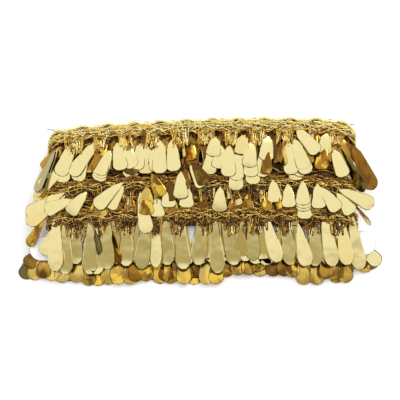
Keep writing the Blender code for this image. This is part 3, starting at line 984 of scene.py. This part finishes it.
def under_cords(under, thread):
    """Cords of one hidden turn, on the front side."""
    chance = random.Random("cords " + under.name)
    edge = tuple(Edge(point.along, point.height + under.shift) for point in under.edge)
    shape = bmesh.new()
    for share, finish in ((0.12, AMBER_SHADE), (0.94, AMBER_SHADE), (0.74, SHADED)):
        paths = twisted_cord(depth_line(edge, share), under.level, UNDER_CORD)
        add_cords(shape, FRONT, paths, thread.cord_radius * UNDER_CORD.thickness, finish)
    for loops, finish in zip(UNDER_LOOPS, (SHADED, AMBER_SHADE)):
        path = loop_fill(edge, loops, under.level, chance)
        add_cords(shape, FRONT, [path], thread.loop_radius * loops.thickness, finish)
    for finish, count in ((AMBER_SHADE, 9), (MIDDLE, 3), (SHADED, 4)):
        runs = long_threads(edge, under.level + UNDER_RUN_LIFT, under.deepest, count, chance)
        add_cords(shape, FRONT, runs, thread.loop_radius, finish)
    return shape


def width_share(share, top):
    """Width of a spangle at a share of its length, as a share of its full width."""
    if share < ROUND_END_SHARE:
        straight = mix(top, 1.0, share / ROUND_END_SHARE)
        return straight * mix(TOP_END_WIDTH, 1.0, math.sqrt(min(1.0, share / TOP_END_SHARE)))
    round_part = (share - ROUND_END_SHARE) / (1 - ROUND_END_SHARE)
    return max(LEAST_WIDTH, math.sqrt(max(0.0, 1 - round_part * round_part)))


def add_spangle(shape, hanging, fall, side, film, chance):
    """Adds one teardrop of film from its root to its tip."""
    root = Vector((hanging.root_x, hanging.root_y, 0))
    tip = Vector((hanging.tip_x, hanging.tip_y, 0))
    down = (tip - root).normalized()
    flat_across = Vector((-down.y, down.x, 0))
    turn = math.radians(hanging.turn + chance.gauss(0, TURN_SPREAD))
    across = flat_across * math.cos(turn) + Vector((0, 0, math.sin(turn)))
    bow = chance.uniform(0.0, BOW + fall.waver)
    tip_drop = chance.gauss(0, fall.waver) + fall.slope * side - hanging.rise
    lifted_level = fall.level + side * hanging.lift * fall.step
    root_level = lifted_level - side * min(fall.rise, side * (lifted_level - fall.root_level))
    half = film.width / MM / 2
    length = (tip - root).length
    made = bmesh.ops.create_grid(shape, x_segments=SPANGLE_COLUMNS, y_segments=SPANGLE_ROWS, size=1)
    tones = shape.verts.layers.float["tone"]
    rim_shadows = shape.verts.layers.float["rim"]
    for vertex in made["verts"]:
        sideways = math.sin(vertex.co.x * math.pi / 2)
        share = math.sin((vertex.co.y + 1) / 2 * math.pi / 2)
        on_rim = abs(sideways) > RIM_SHARE or share > RIM_SHARE
        reach = half * width_share(share, fall.top)
        if abs(sideways) > BY_RIM_COLUMN:
            inner = max(LEAST_BY_RIM, 1 - RIM_WIDTH / reach)
            sideways = math.copysign(1.0 if abs(sideways) > RIM_SHARE else inner, sideways)
        if BY_RIM_ROW < share < RIM_SHARE:
            share = 1 - RIM_WIDTH / length
            reach = half * width_share(share, fall.top)
        level = mix(root_level, lifted_level, smooth_step(share / ROOT_SHARE))
        level += side * fall.bulge * bow * 4 * share * (1 - share) - tip_drop * share
        if on_rim:
            level -= side * RIM_CURL
        middle = root + (tip - root) * share
        vertex.co = middle + across * (reach * sideways) + Vector((0, 0, level))
        vertex.co.z = max(vertex.co.z, LOWEST_LEVELS[side])
        vertex[tones] = hanging.tone
        # The rim carries the painted shadow line
        vertex[rim_shadows] = smooth_step((share - fall.rim_start) / RIM_SHADOW_FADE) if on_rim else 0.0
    bmesh.ops.solidify(shape, geom=faces_at(made["verts"]), thickness=film.thickness / MM)


def filler_spangles(stretch, filler, chance):
    """Covered spangles at random places under those that lie on top."""
    found = []
    count = int((filler.end - filler.start) / filler.step)
    for i in range(count + 1):
        along = filler.start + i * filler.step + chance.uniform(-FILLER_SHIFT, FILLER_SHIFT)
        if any(start < along < end for start, end in BARE.get(stretch.name, ())):
            continue
        root_y = edge_height(stretch.edge, along) - filler.drop
        left = -filler.lean_left * smooth_step((filler.start + LEAN_LENGTH - along) / LEAN_LENGTH)
        right = filler.lean_right * smooth_step((along - filler.end + LEAN_LENGTH) / LEAN_LENGTH)
        lean = math.radians(left + right + chance.gauss(0, FILLER_LEAN_SPREAD))
        reach = filler.reach * chance.uniform(*FILLER_REACH)
        tip_x, tip_y = along + reach * math.sin(lean), root_y - reach * math.cos(lean)
        lift = chance.uniform(*filler.lifts)
        tone = chance.uniform(*filler.tones)
        turn = chance.gauss(0, FILLER_TURN_SPREAD)
        found.append(Hanging(along, root_y, tip_x, tip_y, lift, turn, tone))
    return found


def spangle_row(stretch, film):
    """All spangles of one stretch as one shape."""
    chance = random.Random(f"{film.seed} {stretch.name}")
    shape = bmesh.new()
    shape.verts.layers.float.new("tone")
    shape.verts.layers.float.new("rim")
    hangings = filler_spangles(stretch, FILLERS[stretch.name], chance) + list(SHOWN.get(stretch.name, ()))
    for hanging in hangings:
        add_spangle(shape, hanging, FALLS[stretch.name], stretch.side, film, chance)
    shape_to_frame(shape)
    return shape


def settings():
    return bpy.context.scene.spangle_trim


def thread_finishes(thread):
    """The finishes of thread, from the lightest, each made once."""
    made = []
    for finish in FINISHES:
        color = tuple(getattr(thread, finish.setting))
        made.append(bpy.data.materials.get(finish.name) or thread_material(finish, color))
    return made


def film_finish(film):
    return bpy.data.materials.get("gold_film") or film_material(film)


class TRIM_OT_card(bpy.types.Operator):
    """Make the card with its square upper end and rounded ears"""

    bl_idname = "trim.card"
    bl_label = "Card"

    def execute(self, context):
        shape = bmesh.new()
        outline = list(CARD_CORNERS) + [Corner(-c.x, c.y, c.radius) for c in reversed(CARD_CORNERS)]
        corners = [shape.verts.new((corner.x, corner.y, -CARD_THICKNESS / 2)) for corner in outline]
        shape.faces.new(corners)
        for corner, vertex in zip(outline, corners):
            bevelled(shape, [vertex], corner.radius, "VERTICES", CORNER_SEGMENTS)
        made = bmesh.ops.extrude_face_region(shape, geom=list(shape.faces))
        moved = [item for item in made["geom"] if isinstance(item, bmesh.types.BMVert)]
        bmesh.ops.translate(shape, vec=(0, 0, CARD_THICKNESS), verts=moved)
        bmesh.ops.recalc_face_normals(shape, faces=shape.faces)
        joined = [edge for edge in shape.edges if len(edge.link_faces) == 2]
        rim = [edge for edge in joined if edge.calc_face_angle() > CARD_EDGE_ANGLE]
        bevelled(shape, rim, CARD_EDGE_BEVEL, "EDGES", 2)
        for face in shape.faces:
            face.material_index = int(abs(face.normal.z) < CARD_FACE_SLOPE)
        turn = Matrix.Rotation(math.radians(CARD_TILT_DEGREES), 3, "Z")
        bmesh.ops.rotate(shape, cent=(0, 0, 0), matrix=turn, verts=shape.verts)
        shape_to_frame(shape)
        coated = card_material("coated_card", tuple(settings().stage.card_color))
        # The cut edge: grey board made darker as a painted shadow along the outline
        cut_and_shade = card_material("cut_board", CUT_EDGE_BOARD_AND_SHADE)
        smoothed(finished_piece("card_plate", shape, [coated, cut_and_shade], ["winding_card"]), 35)
        return {"FINISHED"}


class TRIM_OT_hidden_turns(bpy.types.Operator):
    """Make the hidden turns of braid between the card and the turns that show"""

    bl_idname = "trim.hidden_turns"
    bl_label = "Hidden Turns"

    def execute(self, context):
        thread = settings().thread
        finishes = thread_finishes(thread)
        shape = bmesh.new()
        for turn in HIDDEN_TURNS:
            place = partial(on_hidden_turn, turn)
            add_band(shape, HIDDEN_COLUMNS, HIDDEN_ROWS, HIDDEN_THICKNESS, place)
        shape_to_frame(shape)
        # The hidden turns wear the shaded thread, painted shade
        made = finished_piece("hidden_turns", shape, [finishes[SHADED]], ["wound_core"])
        smoothed(made, 60)
        cords = [
            finished_piece("thread_cords_" + under.name, under_cords(under, thread), finishes)
            for under in UNDERS
        ]
        sum(turn_length(turn) for turn in HIDDEN_TURNS) * MM
        return {"FINISHED"}


class TRIM_OT_spangles(bpy.types.Operator):
    """Hang the rows of film spangles"""

    bl_idname = "trim.spangles"
    bl_label = "Spangles"

    def execute(self, context):
        film = settings().film
        for stretch in STRETCHES:
            shape = spangle_row(stretch, film)
            made = finished_piece(
                "film_row_" + stretch.name,
                shape,
                [film_finish(film)],
                ["spangles_" + stretch.name],
            )
            smoothed(made, 20)
        return {"FINISHED"}


class TRIM_OT_braid(bpy.types.Operator):
    """Lay the stretches of braid with their cords and loops of thread"""

    bl_idname = "trim.braid"
    bl_label = "Braid"

    def execute(self, context):
        thread = settings().thread
        finishes = thread_finishes(thread)
        for stretch in STRETCHES:
            laid = braid_cords(stretch, thread)
            cords = finished_piece("thread_cords_" + stretch.name, laid, finishes)
            # The braid's ground wears the shaded thread, painted shade in the gaps between the cords
            shell = finished_piece(
                "braid_ground_" + stretch.name,
                braid_shell(stretch),
                [finishes[SHADED]],
                ["braid_" + stretch.name],
            )
            smoothed(shell, 40)
            braid_area()
        return {"FINISHED"}


class TRIM_OT_stage(bpy.types.Operator):
    """Set the pale floor, the soft studio light and the camera"""

    bl_idname = "trim.stage"
    bl_label = "Stage"

    def execute(self, context):
        stage = settings().stage
        scene = context.scene
        shape = bmesh.new()
        bmesh.ops.create_grid(shape, x_segments=4, y_segments=4, size=FLOOR_HALF)
        data = bpy.data.meshes.new("floor")
        shape.to_mesh(data)
        shape.free()
        data.materials.append(floor_material())
        linked_object("floor", data)
        for light in LIGHTS:
            lamp = bpy.data.lights.new(light.name, "SUN")
            lamp.energy = light.share * stage.light
            lamp.angle = math.radians(light.spread)
            placed = linked_object(light.name, lamp)
            placed.rotation_euler = Vector(light.direction).to_track_quat("Z", "Y").to_euler()
            placed.visible_glossy = light.mirrored
        studio_world(scene)
        place_camera(scene, stage)
        scene.view_settings.view_transform = "Standard"
        return {"FINISHED"}


def studio_world(scene):
    """A large soft light overhead that falls off to grey towards -Y and the horizon."""
    world = bpy.data.worlds.new("studio")
    world.use_nodes = True
    tree = world.node_tree
    direction = new_node(tree, "TexCoord", {}).outputs["Generated"]
    axes = new_node(tree, "SeparateXYZ", {"Vector": direction})
    lengthways = spread(tree, axes.outputs["Y"], *SKY_RANGE)
    sky = blended(tree, lengthways, *SKY_COLORS)
    fill_inputs(tree, tree.nodes["Background"], {"Color": sky})
    scene.world = world


def place_camera(scene, stage):
    """Camera in front of the bundle, high above it, aimed at its middle."""
    target = Vector(CAMERA_TARGET) * MM
    back = Vector((0, -math.cos(stage.elevation), math.sin(stage.elevation)))
    view = bpy.data.cameras.new("camera")
    view.lens = CAMERA_LENS
    view.sensor_width = CAMERA_SENSOR
    camera = linked_object("camera", view)
    camera.location = target + back * stage.distance
    camera.rotation_euler = back.to_track_quat("Z", "Y").to_euler()
    scene.camera = camera


class TRIM_PT_panel(bpy.types.Panel):
    """Lists the steps that make the trim"""

    bl_idname = "TRIM_PT_panel"
    bl_label = "Spangle Trim"
    bl_space_type = "VIEW_3D"
    bl_region_type = "UI"
    bl_category = "Spangle Trim"

    def draw(self, context):
        for step in STEPS:
            self.layout.operator(step.bl_idname)
        for group in (settings().film, settings().thread, settings().stage):
            for name in group.bl_rna.properties.keys():
                if name not in ("rna_type", "name"):
                    self.layout.prop(group, name)


STEPS = (TRIM_OT_card, TRIM_OT_hidden_turns, TRIM_OT_spangles, TRIM_OT_braid, TRIM_OT_stage)
CLASSES = (TRIM_PG_film, TRIM_PG_thread, TRIM_PG_stage, TRIM_PG_settings, *STEPS, TRIM_PT_panel)


def register():
    for entry in CLASSES:
        bpy.utils.register_class(entry)
    bpy.types.Scene.spangle_trim = PointerProperty(type=TRIM_PG_settings)


def unregister():
    del bpy.types.Scene.spangle_trim
    for entry in reversed(CLASSES):
        bpy.utils.unregister_class(entry)


def main():
    register()
    bpy.ops.trim.card()
    bpy.ops.trim.hidden_turns()
    bpy.ops.trim.spangles()
    bpy.ops.trim.braid()
    bpy.ops.trim.stage()
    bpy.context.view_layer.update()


if __name__ == "__main__":
    main()
